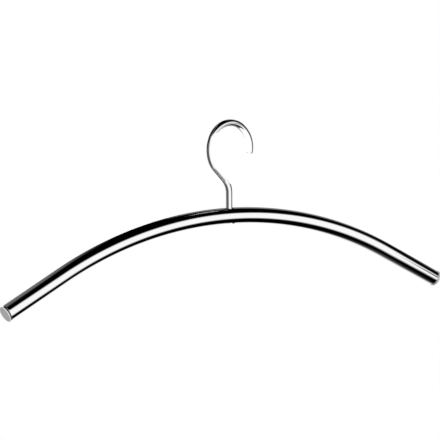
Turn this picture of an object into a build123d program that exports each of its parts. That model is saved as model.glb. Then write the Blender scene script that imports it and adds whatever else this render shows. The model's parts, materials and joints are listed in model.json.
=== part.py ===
from build123d import *
import os

# Chromed coat hanger: a bent round tube that swivels on a question-mark hook.
# Millimetres and degrees. +X runs along the bow and +Z is up. The clothes rail
# lies through the loop of the hook. The origin is the rail's seat, the highest
# point inside the loop. Every piece is made about the crown, where the tube's
# centre line meets the swivel axis, and is moved to the origin at the end.

# Bow tube
tube_diameter = 14.0
tube_wall = 1.0
bend_radius = 350.0
bend_half_angle = 27.7
end_run = 59.6
tube_end_chamfer = 0.5

# Hook rod, in the order in which it is bent, and its turn on the swivel at rest
wire_diameter = 6.0
shank_rise = 12.8
neck_bend_radius = 17.7
neck_bend_angle = 45.0
neck_run = 13.2
loop_radius = 22.1
tip_turn_in = 12.9
tip_chamfer = 0.9
hook_turn = 6.5

# Riveted lower end of the hook rod
spigot_diameter = 4.0
rivet_diameter = 5.6
rivet_height = 0.9
rivet_inset = 0.3

# Retaining washer, gripped by the rivet head
washer_diameter = 7.4
washer_thickness = 0.8

# Swivel bush: its neck fills the hole in the crown, its web carries the load
bush_neck_wall = 0.7
bush_rim_wall = 0.9
bush_web = 2.4
bush_inset = 0.1

# End plugs: a flange as wide as the tube, a narrower step that seats on the tube's
# end and leaves a groove around itself, and a hollow core with barbed fins
flange_thickness = 1.3
flange_chamfer = 0.8
step_length = 0.8
seat_land = 0.3
core_diameter = 9.6
core_length = 10.5
core_wall = 1.4
fin_count = 3
fin_length = 1.8
fin_gap = 1.2

# Clearances
running_clearance = 0.05
axial_play = 0.1
seat_clearance = 0.05
washer_clearance = 0.2
cut_overrun = 1.0
same_edge_share = 0.01

# Radii that the calls below use
tube_radius = tube_diameter / 2
bore_radius = tube_radius - tube_wall
wire_radius = wire_diameter / 2
spigot_radius = spigot_diameter / 2
rivet_radius = rivet_diameter / 2
washer_radius = washer_diameter / 2
core_radius = core_diameter / 2
fin_radius = bore_radius - seat_clearance
step_radius = bore_radius + seat_land

# Radii of the bush, from the rod and the washer that it holds
shank_bore_radius = wire_radius + running_clearance
spigot_bore_radius = spigot_radius + running_clearance
recess_radius = washer_radius + washer_clearance
neck_radius = shank_bore_radius + bush_neck_wall
body_radius = recess_radius + bush_rim_wall

# How far the bent tube falls away from the crown at the edge of the bush
saddle_drop = body_radius**2 / (2 * bend_radius)

# Heights on the swivel axis, from the bush's lower end up to the rod's shoulder
bush_bottom = bush_inset - tube_radius
rivet_bottom = bush_bottom + rivet_inset
washer_bottom = rivet_bottom + rivet_height
washer_top = washer_bottom + washer_thickness
web_bottom = washer_top + axial_play
web_top = web_bottom + bush_web
shoulder_height = web_top + axial_play


def bow_line():
    """Centre line of the tube: a straight run, the bend, and a straight run."""
    bend = CenterArc((0, -bend_radius), bend_radius, 90 + bend_half_angle, -2 * bend_half_angle)
    left_run = Line(bend @ 0 - (bend % 0) * end_run, bend @ 0)
    right_run = Line(bend @ 1, bend @ 1 + (bend % 1) * end_run)
    return Plane.XZ * Wire([left_run, bend, right_run])


def hook_line():
    """Centre line of the rod: the shank, the neck's bend and run, and the loop."""
    shank = Line((0, shoulder_height), (0, tube_radius + shank_rise))
    neck_bend = JernArc(shank @ 1, shank % 1, neck_bend_radius, neck_bend_angle)
    neck = Line(neck_bend @ 1, neck_bend @ 1 + (neck_bend % 1) * neck_run)
    loop_turn = 180 + neck_bend_angle + tip_turn_in
    loop = JernArc(neck @ 1, neck % 1, loop_radius, -loop_turn)
    return Plane.XZ * Wire([shank, neck_bend, neck, loop]), loop.center_point


def swept(path, radius):
    """A round rod along a path."""
    return sweep(Plane(path @ 0, z_dir=path % 0) * Circle(radius), path=path)


def upright(radius, bottom, top):
    """A round rod on the swivel axis, from one height to another."""
    return Pos(0, 0, bottom) * Cylinder(radius, top - bottom, align=(Align.CENTER, Align.CENTER, Align.MIN))


def level(radius, length):
    """A round rod along the bow's line at the crown, centred on the swivel axis."""
    return Rot(0, 90, 0) * Cylinder(radius, length)


def rims_at(shape, place, radius):
    """The round edges of a given radius that are centred on a place."""
    near = radius * same_edge_share
    rounds = shape.edges().filter_by(GeomType.CIRCLE)
    return [e for e in rounds if (e.arc_center - place).length < near and abs(e.radius - radius) < near]


def make_bow_tube():
    """The bent tube, with a hole in its crown for the bush's neck and one below for its body."""
    path = bow_line()
    tube = swept(path, tube_radius)
    end_rims = rims_at(tube, path @ 0, tube_radius) + rims_at(tube, path @ 1, tube_radius)
    tube = chamfer(end_rims, tube_end_chamfer)
    tube -= swept(path, bore_radius)
    tube -= upright(neck_radius + seat_clearance, 0, tube_radius + cut_overrun)
    tube -= upright(body_radius + seat_clearance, -tube_radius - cut_overrun, 0)
    return tube


def make_hook():
    """The bent rod with a blunted tip, and the spigot and rivet head at its foot."""
    path = hook_line()[0]
    rod = swept(path, wire_radius)
    rod = chamfer(rims_at(rod, path @ 1, wire_radius), tip_chamfer)
    rod += upright(spigot_radius, washer_bottom, shoulder_height)
    dome_radius = (rivet_radius**2 + rivet_height**2) / (2 * rivet_height)
    dome = Pos(0, 0, rivet_bottom + dome_radius) * Sphere(dome_radius)
    rod += upright(rivet_radius, rivet_bottom, washer_bottom) & dome
    return Rot(0, 0, hook_turn) * rod


def make_retaining_washer():
    """The washer that the rivet head grips, turning with the hook under the bush's web."""
    return upright(washer_radius, washer_bottom, washer_top) - upright(
        spigot_radius + running_clearance, washer_bottom - cut_overrun, washer_top + cut_overrun
    )


def make_swivel_bush():
    """The bush, pushed up from below: its body meets the tube's bore in a saddle
    around the crown's hole, and its two ends follow the outside of the tube."""
    inside = level(bore_radius - seat_clearance - saddle_drop, 2 * body_radius)
    outside = level(tube_radius - bush_inset, 2 * body_radius)
    bush = upright(body_radius, 0, tube_radius) & inside
    bush += upright(body_radius, -tube_radius, 0) & outside
    bush += upright(neck_radius, 0, tube_radius) & outside
    bush -= upright(shank_bore_radius, web_top, tube_radius + cut_overrun)
    bush -= upright(spigot_bore_radius, web_bottom - cut_overrun, web_top + cut_overrun)
    bush -= upright(recess_radius, -tube_radius - cut_overrun, web_bottom)
    return bush


def make_end_plug():
    """A plug about its own axis, its step seated on the tube's end at zero height."""
    plug_top = step_length + flange_thickness
    flange = upright(tube_radius, step_length, plug_top)
    flange = chamfer(rims_at(flange, Vector(0, 0, plug_top), tube_radius), flange_chamfer)
    plug = flange + upright(step_radius, 0, step_length) + upright(core_radius, -core_length, 0)
    for i in range(fin_count):
        fin_top = -fin_gap - i * (fin_length + fin_gap)
        barb = Cone(core_radius, fin_radius, fin_length, align=(Align.CENTER, Align.CENTER, Align.MAX))
        plug += Pos(0, 0, fin_top) * barb
    return plug - upright(core_radius - core_wall, -core_length - cut_overrun, 0)


def rail_seat():
    """The highest point inside the loop, on the hook as it is turned at rest."""
    centre = hook_line()[1]
    return Rot(0, 0, hook_turn) * Pos(centre.X, 0, centre.Y + loop_radius - wire_radius)


def main():
    path = bow_line()
    plug = make_end_plug()
    pieces = {
        "bow_tube": make_bow_tube(),
        "swivel_bush": make_swivel_bush(),
        "hook": make_hook(),
        "retaining_washer": make_retaining_washer(),
        "left_end_plug": Plane(path @ 0, z_dir=-(path % 0)) * plug,
        "right_end_plug": Plane(path @ 1, z_dir=path % 1) * plug,
    }
    to_seat = Pos(*(-rail_seat().position))
    os.makedirs("parts", exist_ok=True)
    for name, piece in pieces.items():
        export_step(to_seat * piece, f"parts/{name}.step")
    print("swivel axis and crown from the rail seat:", to_seat.position)


main()
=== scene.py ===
import json
import math

import bmesh
import bpy
from mathutils import Matrix, Vector


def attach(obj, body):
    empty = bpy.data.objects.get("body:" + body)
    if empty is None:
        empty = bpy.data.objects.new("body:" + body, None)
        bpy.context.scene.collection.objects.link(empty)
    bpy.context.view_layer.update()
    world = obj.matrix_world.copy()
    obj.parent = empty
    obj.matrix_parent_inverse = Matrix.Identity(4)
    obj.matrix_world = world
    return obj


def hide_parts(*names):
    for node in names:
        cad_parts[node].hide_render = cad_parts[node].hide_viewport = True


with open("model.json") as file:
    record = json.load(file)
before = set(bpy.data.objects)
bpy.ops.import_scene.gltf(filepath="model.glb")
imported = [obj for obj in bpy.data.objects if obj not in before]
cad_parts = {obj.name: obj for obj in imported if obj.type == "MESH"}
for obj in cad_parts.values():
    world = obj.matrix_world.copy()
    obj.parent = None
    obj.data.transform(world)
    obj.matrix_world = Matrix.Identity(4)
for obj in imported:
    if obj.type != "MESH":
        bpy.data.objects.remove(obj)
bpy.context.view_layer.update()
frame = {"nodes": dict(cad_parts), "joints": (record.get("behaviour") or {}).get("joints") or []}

# Chromed coat hanger: a bent tube that swivels on a question-mark hook.
# Metres and radians, but degrees for directions in the studio. The frame gives
# the swivel axis and the crown. Every new piece is shaped about the crown, where
# the tube's centre line meets that axis, and is then moved to where the crown
# lies from the frame's origin, the rail's seat in the loop.
mm = 0.001

# Bow tube
tube_radius = 7.0 * mm
tube_wall = 1.0 * mm
bend_radius = 350.0 * mm
bend_half_angle = math.radians(27.7)
end_run = 59.6 * mm
tube_rim_round = 0.8 * mm

# Holes in the crown, for the neck of the bush above and for its body below
neck_hole_radius = 3.8 * mm
body_hole_radius = 4.85 * mm
hole_overrun = 1.0 * mm

# Sides of the bow, as signs of X
left_side = -1
right_side = 1

# Hook rod, in the order in which it is bent
rod_radius = 3.0 * mm
shank_rise = 12.8 * mm
neck_bend_radius = 17.7 * mm
neck_bend_angle = math.radians(45.0)
neck_run = 13.2 * mm
loop_radius = 22.1 * mm
tip_turn_in = math.radians(12.9)
tip_round = 1.1 * mm
hook_turn = math.radians(6.5)

# Riveted foot of the hook, as heights from the crown
rivet_bottom = -6.6 * mm
rivet_height = 0.9 * mm
rivet_radius = 2.8 * mm
spigot_radius = 2.0 * mm
shoulder_height = -2.3 * mm

# End plugs: a rounded flange, a narrower step seated on the tube's end, and a core
flange_thickness = 1.3 * mm
flange_round = 0.7 * mm
flange_back_round = 0.3 * mm
step_length = 0.8 * mm
step_radius = 6.3 * mm
core_radius = 4.8 * mm
core_length = 10.5 * mm
core_wall = 1.4 * mm
fin_count = 3
fin_radius = 5.95 * mm
fin_length = 1.8 * mm
fin_gap = 1.2 * mm

# Fineness of the meshes
tube_segments = 120
bend_steps = 320
bore_bend_steps = 60
rod_segments = 64
neck_steps = 20
loop_steps = 96
round_steps = 6
round_profile = 0.5
same_place = 0.001 * mm
smooth_below = math.radians(35)

# Camera, in the photograph's frame of 440 by 440 pixels, with the pixel that shows the crown
picture_size = 440
focal_pixels = 3043.0
sensor_width = 36.0
camera_distance = 2595.0 * mm
camera_yaw = 0.5590
camera_pitch = 0.1006
camera_roll = 0.0060
crown_pixel_x = 229.2
crown_pixel_y = 215.8
nearest_seen = 0.1
farthest_seen = 30.0

# Colours: pairs of tones that a pattern mixes, and two plain tones
chrome_tones = ((0.925, 0.925, 0.93, 1), (0.965, 0.965, 0.968, 1))
plug_tones = ((0.53, 0.53, 0.52, 1), (0.6, 0.6, 0.59, 1))
bush_tones = ((0.012, 0.012, 0.012, 1), (0.03, 0.03, 0.03, 1))
zinc_tones = ((0.48, 0.48, 0.5, 1), (0.62, 0.62, 0.63, 1))
floor_tones = ((0.78, 0.78, 0.775, 1), (0.82, 0.82, 0.815, 1))
# Paler tone, painted on a plug's rim as a highlight
rim_highlight_tone = (0.63, 0.63, 0.62, 1)
# Near black, painted in a plug's groove as shade
groove_shade_tone = (0.015, 0.015, 0.014, 1)

# Heights of the bumps for grain and waviness. Squeezing the places along the bow
# draws the pattern of hairline scratches out along it
grain_height = 0.02 * mm
waviness_height = 0.02 * mm
hairline_squeeze = 0.04

# Wear and painted light: the chrome that the rail rubs about its seat, a painted highlight on the rim
# of a plug by its radius, painted shade in a plug's groove from just below its seat, and the bush's
# polish about the rod
rail_rub_start = 2.0 * mm
rail_rub_end = 9.0 * mm
rim_highlight_start = 5.6 * mm
rim_highlight_end = 6.7 * mm
groove_shade_below_seat = 0.3 * mm
polish_width = 0.4 * mm
# Strength of the painted shade in each plug's groove: full on the left plug, faint on the right
left_groove_shade = 1.0
right_groove_shade = 0.2

# Floor, as far below the rail as under a clothes rail, and the shares of its
# radius between which it turns from its own colour to white
floor_depth = 1.6
floor_radius = 4.0
floor_segments = 96
floor_plain_share = 0.3
floor_white_share = 0.95

# Lamps in the loop of the hook: their middle from the rail's seat, their size, and
# their tilt from level
lamp_across = 2.0 * mm
lamp_height = -27.0 * mm
lamp_width = 50.5 * mm
lamp_depth = 160.0 * mm
lamp_tilt = math.radians(56.3)

# Ray depth at which the first mirror shows the lamps. In a mirror's mirror they are dark
first_mirror_depth = 2

# Soft light on everything but the chrome, and the key light with its direction in degrees
soft_light = 0.43
key_strength = 2.8
key_azimuth = 160
key_elevation = 45
key_width = math.radians(40)

swivel = next(joint for joint in frame["joints"] if joint["name"] == "bow_swivel")
crown = Vector(swivel["pos_m"]) - Vector((0, 0, tube_radius))


def along(angle):
    """A unit vector in the bow's plane, turned down from +X by an angle."""
    return Vector((math.cos(angle), 0, -math.sin(angle)))


def facing(direction, place):
    """The turn and shift that put a shape made about +Z along a direction at a place."""
    return Matrix.Translation(place) @ direction.to_track_quat("Z", "Y").to_matrix().to_4x4()


def edges_of(result, key="geom"):
    """The edges in what an operator returned."""
    return [part for part in result[key] if isinstance(part, bmesh.types.BMEdge)]


def verts_of(result, key="geom"):
    """The vertices in what an operator returned."""
    return [part for part in result[key] if isinstance(part, bmesh.types.BMVert)]


def ring(bm, radius, segments, place):
    """A circle of edges, placed by a matrix."""
    made = bmesh.ops.create_circle(bm, cap_ends=False, segments=segments, radius=radius, matrix=place)
    return list({edge for vert in made["verts"] for edge in vert.link_edges})


def run_on(bm, edges, step):
    """Carries a ring of edges straight on."""
    made = bmesh.ops.extrude_edge_only(bm, edges=edges)
    bmesh.ops.translate(bm, vec=step, verts=verts_of(made))
    return edges_of(made)


def bend_on(bm, edges, centre, angle, steps):
    """Carries a ring of edges round a bend in the XZ plane."""
    made = bmesh.ops.spin(
        bm, geom=edges, cent=centre, axis=(0, 1, 0), angle=angle, steps=steps,
        use_merge=False, use_normal_flip=False, use_duplicate=False,
    )
    return edges_of(made, "geom_last")


def quarter_round(centre_radius, centre_height, radius, start, end):
    """Points of a rounded edge in a turned outline, each a radius and a height."""
    turns = [start + (end - start) * step / round_steps for step in range(round_steps + 1)]
    return [(centre_radius + radius * math.cos(t), centre_height + radius * math.sin(t)) for t in turns]


def tube_end(side):
    """The middle of the tube's end on one side, from the crown, and the direction it points in."""
    outward = along(bend_half_angle)
    place = Vector((math.sin(bend_half_angle), 0, math.cos(bend_half_angle) - 1)) * bend_radius
    mirror = Vector((side, 1, 1))
    return (place + outward * end_run) * mirror, outward * mirror


def turned(bm, outline, segments):
    """Spins an outline of radii and heights about +Z into a closed shape of revolution."""
    verts = [bm.verts.new((radius, 0, height)) for radius, height in outline]
    edges = [bm.edges.new(pair) for pair in zip(verts, verts[1:])]
    bmesh.ops.spin(
        bm, geom=verts + edges, cent=(0, 0, 0), axis=(0, 0, 1), angle=2 * math.pi, steps=segments,
        use_merge=True, use_normal_flip=False, use_duplicate=False,
    )
    bmesh.ops.remove_doubles(bm, verts=bm.verts, dist=same_place)


def finished(bm, name, body, replaced):
    """Turns a bmesh into a smooth piece that stands for a node and rides on its body."""
    bmesh.ops.recalc_face_normals(bm, faces=bm.faces)
    bmesh.ops.translate(bm, vec=crown, verts=bm.verts)
    mesh = bpy.data.meshes.new(name)
    bm.to_mesh(mesh)
    bm.free()
    piece = bpy.data.objects.new(name, mesh)
    bpy.context.scene.collection.objects.link(piece)
    shade(mesh)
    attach(piece, body)
    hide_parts(replaced)
    return piece


def shade(mesh):
    """Smooth faces with crisp edges where they meet at a steep angle."""
    mesh.shade_smooth()
    mesh.set_sharp_from_angle(angle=smooth_below)


def bow_skin(bm, radius, start, steps):
    """Carries a ring along the tube's centre line and gives the rings at its two ends."""
    left_run = along(-bend_half_angle) * end_run
    first = ring(bm, radius, tube_segments, facing(left_run, start))
    last = run_on(bm, first, left_run)
    last = bend_on(bm, last, (0, 0, -bend_radius), 2 * bend_half_angle, steps)
    last = run_on(bm, last, along(bend_half_angle) * end_run)
    return first, last


def make_bow_tube():
    """The bent tube with its wall, its rounded ends and the two holes in its crown."""
    bm = bmesh.new()
    start = tube_end(left_side)[0]
    end = tube_end(right_side)[0]
    rims = bow_skin(bm, tube_radius, start, bend_steps)
    inwards = 1 - tube_wall / tube_radius
    for rim, place in zip(rims, (start, end)):
        lip = bmesh.ops.extrude_edge_only(bm, edges=rim)
        bmesh.ops.scale(
            bm, vec=(inwards, inwards, inwards), space=Matrix.Translation(-place), verts=verts_of(lip)
        )
    bmesh.ops.bevel(
        bm, geom=rims[0] + rims[1], offset=tube_rim_round, affect="EDGES", segments=round_steps,
        profile=round_profile, material=-1,
    )
    bow_skin(bm, tube_radius - tube_wall, start, bore_bend_steps)
    bmesh.ops.remove_doubles(bm, verts=bm.verts, dist=same_place)
    piece = finished(bm, "chromed_bow", "bow", "bow_tube")
    cut_hole(piece, neck_hole_radius, 0, tube_radius + hole_overrun)
    cut_hole(piece, body_hole_radius, -tube_radius - hole_overrun, 0)
    return piece


def cut_hole(piece, radius, bottom, top):
    """Cuts a round upright hole on the swivel axis, between two heights from the crown."""
    bm = bmesh.new()
    middle = crown + Vector((0, 0, (bottom + top) / 2))
    bmesh.ops.create_cone(
        bm, cap_ends=True, segments=rod_segments, radius1=radius, radius2=radius, depth=top - bottom,
        matrix=Matrix.Translation(middle),
    )
    mesh = bpy.data.meshes.new("hole")
    bm.to_mesh(mesh)
    bm.free()
    cutter = bpy.data.objects.new("hole", mesh)
    bpy.context.scene.collection.objects.link(cutter)
    cut = piece.modifiers.new("hole", "BOOLEAN")
    cut.operation = "DIFFERENCE"
    cut.solver = "EXACT"
    cut.object = cutter
    bpy.context.view_layer.update()
    seen = piece.evaluated_get(bpy.context.evaluated_depsgraph_get())
    cut_mesh = bpy.data.meshes.new_from_object(seen)
    piece.modifiers.clear()
    piece.data = cut_mesh
    shade(piece.data)
    bpy.data.objects.remove(cutter)


def make_hook():
    """The bent rod, turned at its foot into a shoulder, a spigot and a rivet head."""
    bm = bmesh.new()
    dome_radius = (rivet_radius**2 + rivet_height**2) / (2 * rivet_height)
    dome_centre = rivet_bottom + dome_radius
    dome_half_angle = math.asin(rivet_radius / dome_radius)
    dome = []
    for step in range(round_steps + 1):
        turn = dome_half_angle * step / round_steps
        dome.append((dome_radius * math.sin(turn), dome_centre - dome_radius * math.cos(turn)))
    shank_top = tube_radius + shank_rise
    outline = dome + [
        (spigot_radius, rivet_bottom + rivet_height),
        (spigot_radius, shoulder_height),
        (rod_radius, shoulder_height),
        (rod_radius, shank_top),
    ]
    turned(bm, outline, rod_segments)
    last = [edge for edge in bm.edges if edge.is_boundary]
    last = bend_on(bm, last, (-neck_bend_radius, 0, shank_top), -neck_bend_angle, neck_steps)
    up_neck = along(-math.pi / 2 - neck_bend_angle)
    last = run_on(bm, last, up_neck * neck_run)
    neck_top = Vector((-neck_bend_radius, 0, shank_top)) + along(-neck_bend_angle) * neck_bend_radius
    loop_centre = neck_top + up_neck * neck_run + along(-neck_bend_angle) * loop_radius
    loop_turn = math.pi + neck_bend_angle + tip_turn_in
    last = bend_on(bm, last, loop_centre, loop_turn, loop_steps)
    bmesh.ops.contextual_create(bm, geom=last)
    bmesh.ops.bevel(
        bm, geom=last, offset=tip_round, affect="EDGES", segments=round_steps,
        profile=round_profile, material=-1,
    )
    bmesh.ops.rotate(bm, cent=(0, 0, 0), matrix=Matrix.Rotation(hook_turn, 3, "Z"), verts=bm.verts)
    return finished(bm, "hook_rod", "hook", "hook")


def make_end_plug(name, side, replaced):
    """A plug with a rounded flange, a step on the tube's end and a hollow, barbed core."""
    bm = bmesh.new()
    plug_top = step_length + flange_thickness
    rim = quarter_round(
        tube_radius - flange_round, plug_top - flange_round, flange_round, math.pi / 2, 0
    )
    back = quarter_round(
        tube_radius - flange_back_round, step_length + flange_back_round, flange_back_round,
        0, -math.pi / 2,
    )
    outline = [(0, plug_top)] + rim + back
    outline += [(step_radius, step_length), (step_radius, 0), (core_radius, 0)]
    for i in range(fin_count):
        fin_top = -fin_gap - i * (fin_length + fin_gap)
        outline += [(core_radius, fin_top), (fin_radius, fin_top), (core_radius, fin_top - fin_length)]
    outline += [
        (core_radius, -core_length),
        (core_radius - core_wall, -core_length),
        (core_radius - core_wall, 0),
        (0, 0),
    ]
    turned(bm, outline, tube_segments)
    place, outward = tube_end(side)
    bmesh.ops.transform(bm, matrix=facing(outward, place), verts=bm.verts)
    return finished(bm, name, "bow", replaced)


def new_material(name):
    """A material with one Principled shader, and a pattern on the piece's own coordinates."""
    material = bpy.data.materials.new(name)
    material.use_nodes = True
    nodes = material.node_tree.nodes
    place = nodes.new("ShaderNodeTexCoord").outputs["Object"]
    return material, nodes, material.node_tree.links, nodes["Principled BSDF"], place


def feed(links, source, socket):
    """Links an output to an input, or sets the input to a fixed value."""
    if isinstance(source, bpy.types.NodeSocket):
        links.new(source, socket)
    else:
        socket.default_value = source


def noise(nodes, links, place, scale, detail, low, high):
    """A noise pattern that runs between two values, its scale in waves per metre."""
    texture = nodes.new("ShaderNodeTexNoise")
    texture.inputs["Scale"].default_value = scale
    texture.inputs["Detail"].default_value = detail
    links.new(place, texture.inputs["Vector"])
    spread = nodes.new("ShaderNodeMapRange")
    spread.inputs["To Min"].default_value = low
    spread.inputs["To Max"].default_value = high
    links.new(texture.outputs["Fac"], spread.inputs["Value"])
    return spread.outputs["Result"]


def ramp(nodes, links, value, start, end, low, high):
    """A smooth change between two values while an input runs from start to end."""
    node = nodes.new("ShaderNodeMapRange")
    node.interpolation_type = "SMOOTHSTEP"
    node.inputs["From Min"].default_value = start
    node.inputs["From Max"].default_value = end
    node.inputs["To Min"].default_value = low
    node.inputs["To Max"].default_value = high
    links.new(value, node.inputs["Value"])
    return node.outputs["Result"]


def blend(nodes, links, kind, factor, first, second):
    """A mix that runs from the first to the second of two colours or numbers."""
    mix = nodes.new("ShaderNodeMix")
    mix.data_type = kind
    links.new(factor, mix.inputs["Factor"])
    feed(links, first, mix.inputs["A"])
    feed(links, second, mix.inputs["B"])
    return mix.outputs["Result"]


def combine(nodes, links, operation, first, second):
    """One number made from two."""
    node = nodes.new("ShaderNodeMath")
    node.operation = operation
    links.new(first, node.inputs[0])
    links.new(second, node.inputs[1])
    return node.outputs["Value"]


def vector_step(nodes, links, operation, first, second=None):
    """One operation on a vector, with a second one where it takes two."""
    node = nodes.new("ShaderNodeVectorMath")
    node.operation = operation
    links.new(first, node.inputs[0])
    if second is not None:
        feed(links, second, node.inputs[1])
    return node.outputs["Value" if operation in ("LENGTH", "DOT_PRODUCT") else "Vector"]


def level_distance(nodes, links, place, middle):
    """How far a place is from the upright axis through a middle."""
    from_middle = vector_step(nodes, links, "SUBTRACT", place, middle)
    level_only = vector_step(nodes, links, "MULTIPLY", from_middle, (1, 1, 0))
    return vector_step(nodes, links, "LENGTH", level_only)


def bump(nodes, links, height, distance):
    """A bump whose height is given in metres."""
    node = nodes.new("ShaderNodeBump")
    node.inputs["Distance"].default_value = distance
    links.new(height, node.inputs["Height"])
    return node.outputs["Normal"]


def chrome():
    """Bright plating: faint smudges, fine scratches, a soft waviness, and wear where the rail rubs."""
    material, nodes, links, shader, place = new_material("chrome_plating")
    shader.inputs["Metallic"].default_value = 1.0
    smudges = noise(nodes, links, place, scale=45, detail=4, low=0, high=1)
    plating = blend(nodes, links, "RGBA", smudges, *chrome_tones)
    links.new(plating, shader.inputs["Base Color"])
    haze = noise(nodes, links, place, scale=140, detail=4, low=0.02, high=0.06)
    along_bow = vector_step(nodes, links, "MULTIPLY", place, (hairline_squeeze, 1, 1))
    hairlines = noise(nodes, links, along_bow, scale=2600, detail=2, low=0, high=1)
    scratches = ramp(nodes, links, hairlines, start=0.62, end=0.8, low=0, high=0.05)
    scratched = combine(nodes, links, "ADD", haze, scratches)
    from_seat = vector_step(nodes, links, "LENGTH", place)
    rubbing = ramp(nodes, links, from_seat, start=rail_rub_start, end=rail_rub_end, low=0.12, high=0)
    patchy = noise(nodes, links, place, scale=900, detail=4, low=0, high=1)
    wear_and_rim_highlight = combine(nodes, links, "MULTIPLY", rubbing, patchy)
    links.new(combine(nodes, links, "ADD", scratched, wear_and_rim_highlight), shader.inputs["Roughness"])
    waves = noise(nodes, links, place, scale=60, detail=1, low=0, high=1)
    links.new(bump(nodes, links, waves, waviness_height), shader.inputs["Normal"])
    return material


def plug_plastic(name, side, groove_shade):
    """Grey moulded plastic with a satin grain, painted shade in its groove and a paler rim that is a
    painted highlight.
    """
    material, nodes, links, shader, place = new_material(name)
    seat, outward = tube_end(side)
    from_seat = vector_step(nodes, links, "SUBTRACT", place, crown + seat)
    height = vector_step(nodes, links, "DOT_PRODUCT", from_seat, outward)
    on_axis = vector_step(nodes, links, "PROJECT", from_seat, outward)
    across = vector_step(nodes, links, "SUBTRACT", from_seat, on_axis)
    from_axis = vector_step(nodes, links, "LENGTH", across)
    grain = noise(nodes, links, place, scale=900, detail=3, low=0, high=1)
    plain = blend(nodes, links, "RGBA", grain, *plug_tones)
    # Paler rim by its radius, broken up by a pattern: a painted highlight
    rim = ramp(nodes, links, from_axis, start=rim_highlight_start, end=rim_highlight_end, low=0, high=1)
    patchy = noise(nodes, links, place, scale=500, detail=3, low=0.6, high=1)
    wear_and_rim_highlight = combine(nodes, links, "MULTIPLY", rim, patchy)
    paler = blend(nodes, links, "RGBA", wear_and_rim_highlight, plain, rim_highlight_tone)
    # Near black in the groove, from just below the seat up to the flange: painted shade, stronger on
    # the left plug
    above_seat = ramp(nodes, links, height, start=-groove_shade_below_seat, end=0, low=0, high=1)
    groove_top = step_length + flange_back_round
    below_flange = ramp(nodes, links, height, start=step_length, end=groove_top, low=groove_shade, high=0)
    in_groove = combine(nodes, links, "MULTIPLY", above_seat, below_flange)
    groove_shaded = blend(nodes, links, "RGBA", in_groove, paler, groove_shade_tone)
    links.new(groove_shaded, shader.inputs["Base Color"])
    sheen_patches = noise(nodes, links, place, scale=350, detail=3, low=0.38, high=0.52)
    links.new(sheen_patches, shader.inputs["Roughness"])
    links.new(bump(nodes, links, grain, grain_height), shader.inputs["Normal"])
    return material


def bush_plastic():
    """Black moulded plastic, slightly polished where the rod turns in it."""
    material, nodes, links, shader, place = new_material("bush_plastic")
    grain = noise(nodes, links, place, scale=1200, detail=3, low=0, high=1)
    black = blend(nodes, links, "RGBA", grain, *bush_tones)
    links.new(black, shader.inputs["Base Color"])
    from_axis = level_distance(nodes, links, place, crown)
    polish_end = rod_radius + polish_width
    polished = ramp(nodes, links, from_axis, start=rod_radius, end=polish_end, low=0.25, high=0.55)
    links.new(polished, shader.inputs["Roughness"])
    links.new(bump(nodes, links, grain, grain_height), shader.inputs["Normal"])
    return material


def washer_steel():
    """Zinc-plated steel, patchy, with rings rubbed into it by the turning hook."""
    material, nodes, links, shader, place = new_material("washer_steel")
    shader.inputs["Metallic"].default_value = 1.0
    spread_out = nodes.new("ShaderNodeCombineXYZ")
    links.new(level_distance(nodes, links, place, crown), spread_out.inputs["X"])
    rings = noise(nodes, links, spread_out.outputs["Vector"], scale=5000, detail=2, low=0, high=0.18)
    haze = noise(nodes, links, place, scale=700, detail=4, low=0.25, high=0.4)
    links.new(combine(nodes, links, "ADD", haze, rings), shader.inputs["Roughness"])
    patches = noise(nodes, links, place, scale=500, detail=3, low=0, high=1)
    zinc = blend(nodes, links, "RGBA", patches, *zinc_tones)
    links.new(zinc, shader.inputs["Base Color"])
    return material


def coat(piece, material):
    """Gives a piece one material."""
    piece.data.materials.clear()
    piece.data.materials.append(material)


def compass(azimuth, elevation):
    """A unit vector from two angles in degrees: azimuth from +Y towards +X, elevation from level."""
    a = math.radians(azimuth)
    e = math.radians(elevation)
    return Vector((math.sin(a) * math.cos(e), math.cos(a) * math.cos(e), math.sin(e)))


class Surroundings:
    """The studio as the chrome mirrors it: white walls with patches of other tones."""

    def __init__(self, world):
        self.nodes = world.node_tree.nodes
        self.links = world.node_tree.links
        self.direction = self.nodes.new("ShaderNodeTexCoord").outputs["Generated"]
        self.tone = 1.0

    def paint(self, azimuth, elevation, reach, softness, tone):
        """Lays a round patch of one tone, 1 for white, over the rest.

        Its direction, its reach and the softness of its edge are in degrees.
        """
        away = vector_step(
            self.nodes, self.links, "DOT_PRODUCT", self.direction, compass(azimuth, elevation)
        )
        edge = math.cos(math.radians(reach))
        blur = math.sin(math.radians(reach)) * math.radians(softness)
        inside = ramp(self.nodes, self.links, away, start=edge - blur, end=edge + blur, low=0, high=1)
        self.tone = blend(self.nodes, self.links, "FLOAT", inside, self.tone, tone)


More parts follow.
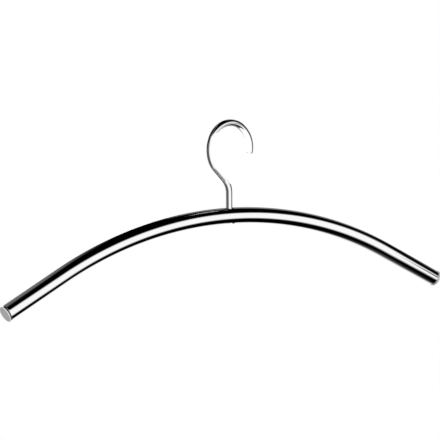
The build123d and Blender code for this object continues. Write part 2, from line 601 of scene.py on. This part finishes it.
def make_world():
    """White to the camera, a plain soft light to the rest, and a studio for the chrome to mirror."""
    world = bpy.data.worlds.new("studio")
    bpy.context.scene.world = world
    world.use_nodes = True
    nodes = world.node_tree.nodes
    links = world.node_tree.links
    studio = Surroundings(world)
    # Dark ceiling, in two parts
    studio.paint(azimuth=38, elevation=79, reach=63, softness=7, tone=0.0)
    studio.paint(azimuth=144, elevation=71, reach=35, softness=20, tone=0.0)
    # Gap in the walls to the right, above eye level
    studio.paint(azimuth=102, elevation=10, reach=23, softness=6, tone=0.0)
    # Narrow strip beside the gap, which only the upright hook mirrors
    studio.paint(azimuth=131, elevation=-6, reach=8, softness=5, tone=0.0)
    # Dark floor, in front on the right and below
    studio.paint(azimuth=113, elevation=-61, reach=36, softness=9, tone=0.0)
    studio.paint(azimuth=170, elevation=-88, reach=27, softness=5, tone=0.0)
    # Open side of the studio, behind on the left, with a grey screen beside it
    studio.paint(azimuth=-6, elevation=7, reach=39, softness=2, tone=0.0)
    studio.paint(azimuth=48, elevation=30, reach=17, softness=1, tone=0.23)
    # Grey left wall, darker towards its foot and its top
    studio.paint(azimuth=300, elevation=-2, reach=77, softness=7, tone=0.17)
    studio.paint(azimuth=305, elevation=-38, reach=55, softness=17, tone=0.1)
    studio.paint(azimuth=305, elevation=34, reach=35, softness=4, tone=0.0)
    # White window in the open side, for the back of the hanger
    studio.paint(azimuth=-12, elevation=0, reach=26, softness=10, tone=0.95)
    rays = nodes.new("ShaderNodeLightPath").outputs
    mirrored = blend(nodes, links, "FLOAT", rays["Is Glossy Ray"], soft_light, studio.tone)
    seen_white = combine(nodes, links, "MAXIMUM", rays["Is Camera Ray"], rays["Is Transmission Ray"])
    strength = blend(nodes, links, "FLOAT", seen_white, mirrored, 1.0)
    links.new(strength, nodes["Background"].inputs["Strength"])
    nodes["Background"].inputs["Color"].default_value = (1, 1, 1, 1)


def make_hook_lamps(hook):
    """Two flat lamps back to back in the loop, mirrored as plain white by the chrome of the hook alone.

    They don't show in the hook's own image in the tube.
    """
    lit = bpy.data.collections.new("lit_by_hook_lamps")
    lit.objects.link(hook)
    turn = Matrix.Rotation(hook_turn, 3, "Z")
    middle = turn @ Vector((lamp_across, 0, lamp_height))
    upwards = turn @ Vector((math.sin(lamp_tilt), 0, math.cos(lamp_tilt)))
    backwards = turn @ Vector((0, 1, 0))
    for name, aim in (("hook_lamp_above", upwards), ("hook_lamp_below", -upwards)):
        data = bpy.data.lights.new(name, "AREA")
        data.shape = "RECTANGLE"
        data.size = lamp_width
        data.size_y = lamp_depth
        # The energy at which a lamp's face is exactly as bright as plain white
        data.energy = math.pi * lamp_width * lamp_depth
        data.use_nodes = True
        nodes = data.node_tree.nodes
        links = data.node_tree.links
        depth = nodes.new("ShaderNodeLightPath").outputs["Ray Depth"]
        glow = ramp(
            nodes, links, depth, start=first_mirror_depth + 0.2, end=first_mirror_depth + 0.8,
            low=1, high=0,
        )
        links.new(glow, nodes["Emission"].inputs["Strength"])
        lamp = bpy.data.objects.new(name, data)
        axes = Matrix((backwards.cross(-aim), backwards, -aim)).transposed()
        lamp.matrix_world = Matrix.Translation(middle) @ axes.to_4x4()
        lamp.visible_camera = False
        lamp.visible_diffuse = False
        lamp.light_linking.receiver_collection = lit
        bpy.context.scene.collection.objects.link(lamp)


def make_floor():
    """A round pale floor far below, as under a clothes rail, that melts into white towards its edge."""
    bm = bmesh.new()
    bmesh.ops.create_circle(
        bm, cap_ends=True, segments=floor_segments, radius=floor_radius,
        matrix=Matrix.Translation((0, 0, -floor_depth)),
    )
    mesh = bpy.data.meshes.new("floor")
    bm.to_mesh(mesh)
    bm.free()
    floor = bpy.data.objects.new("floor", mesh)
    bpy.context.scene.collection.objects.link(floor)
    floor.visible_glossy = False
    mesh.materials.append(pale_floor())


def pale_floor():
    """Pale, faintly clouded matt floor whose outer part shines as plain white."""
    material, nodes, links, shader, place = new_material("pale_floor")
    shader.inputs["Roughness"].default_value = 0.7
    shader.inputs["Specular IOR Level"].default_value = 0.2
    clouds = noise(nodes, links, place, scale=3, detail=3, low=0, high=1)
    pale = blend(nodes, links, "RGBA", clouds, *floor_tones)
    links.new(pale, shader.inputs["Base Color"])
    from_middle = level_distance(nodes, links, place, (0, 0, 0))
    plain_radius = floor_plain_share * floor_radius
    white_radius = floor_white_share * floor_radius
    melting = ramp(nodes, links, from_middle, start=plain_radius, end=white_radius, low=0, high=1)
    white = nodes.new("ShaderNodeEmission")
    mix = nodes.new("ShaderNodeMixShader")
    links.new(melting, mix.inputs["Fac"])
    links.new(shader.outputs["BSDF"], mix.inputs[1])
    links.new(white.outputs["Emission"], mix.inputs[2])
    links.new(mix.outputs["Shader"], nodes["Material Output"].inputs["Surface"])
    return material


def make_key_light():
    """A broad soft key from the front right, above, which the chrome doesn't mirror."""
    light = bpy.data.lights.new("key", "SUN")
    light.energy = key_strength
    light.angle = key_width
    key = bpy.data.objects.new("key", light)
    key.matrix_world = facing(compass(key_azimuth, key_elevation), Vector((0, 0, 0)))
    key.visible_glossy = False
    bpy.context.scene.collection.objects.link(key)


def make_camera():
    """The camera that sees the crown at its pixel, turned as the photograph was taken."""
    forward = Vector((
        math.sin(camera_yaw) * math.cos(camera_pitch),
        math.cos(camera_yaw) * math.cos(camera_pitch),
        -math.sin(camera_pitch),
    ))
    level_right = Vector((math.cos(camera_yaw), -math.sin(camera_yaw), 0))
    level_down = forward.cross(level_right)
    right = math.cos(camera_roll) * level_right + math.sin(camera_roll) * level_down
    down = -math.sin(camera_roll) * level_right + math.cos(camera_roll) * level_down
    pixel = camera_distance / focal_pixels
    place = crown - forward * camera_distance
    place -= right * (crown_pixel_x - picture_size / 2) * pixel
    place -= down * (crown_pixel_y - picture_size / 2) * pixel
    data = bpy.data.cameras.new("camera")
    data.sensor_width = sensor_width
    data.lens = focal_pixels / picture_size * sensor_width
    data.clip_start = nearest_seen
    data.clip_end = farthest_seen
    camera = bpy.data.objects.new("camera", data)
    axes = Matrix((right, -down, -forward)).transposed()
    camera.matrix_world = Matrix.Translation(place) @ axes.to_4x4()
    bpy.context.scene.collection.objects.link(camera)
    bpy.context.scene.camera = camera


def main():
    """Makes the pieces with their materials, and then the floor, the lights and the camera."""
    plating = chrome()
    coat(make_bow_tube(), plating)
    hook = make_hook()
    coat(hook, plating)
    left_plug = make_end_plug("left_plug", left_side, "left_end_plug")
    coat(left_plug, plug_plastic("left_plug_plastic", left_side, left_groove_shade))
    right_plug = make_end_plug("right_plug", right_side, "right_end_plug")
    coat(right_plug, plug_plastic("right_plug_plastic", right_side, right_groove_shade))
    # The bush and the washer keep the meshes that they have in the frame
    coat(frame["nodes"]["swivel_bush"], bush_plastic())
    coat(frame["nodes"]["retaining_washer"], washer_steel())
    make_floor()
    make_world()
    make_hook_lamps(hook)
    make_key_light()
    make_camera()
    bpy.context.scene.view_settings.view_transform = "Standard"


main()
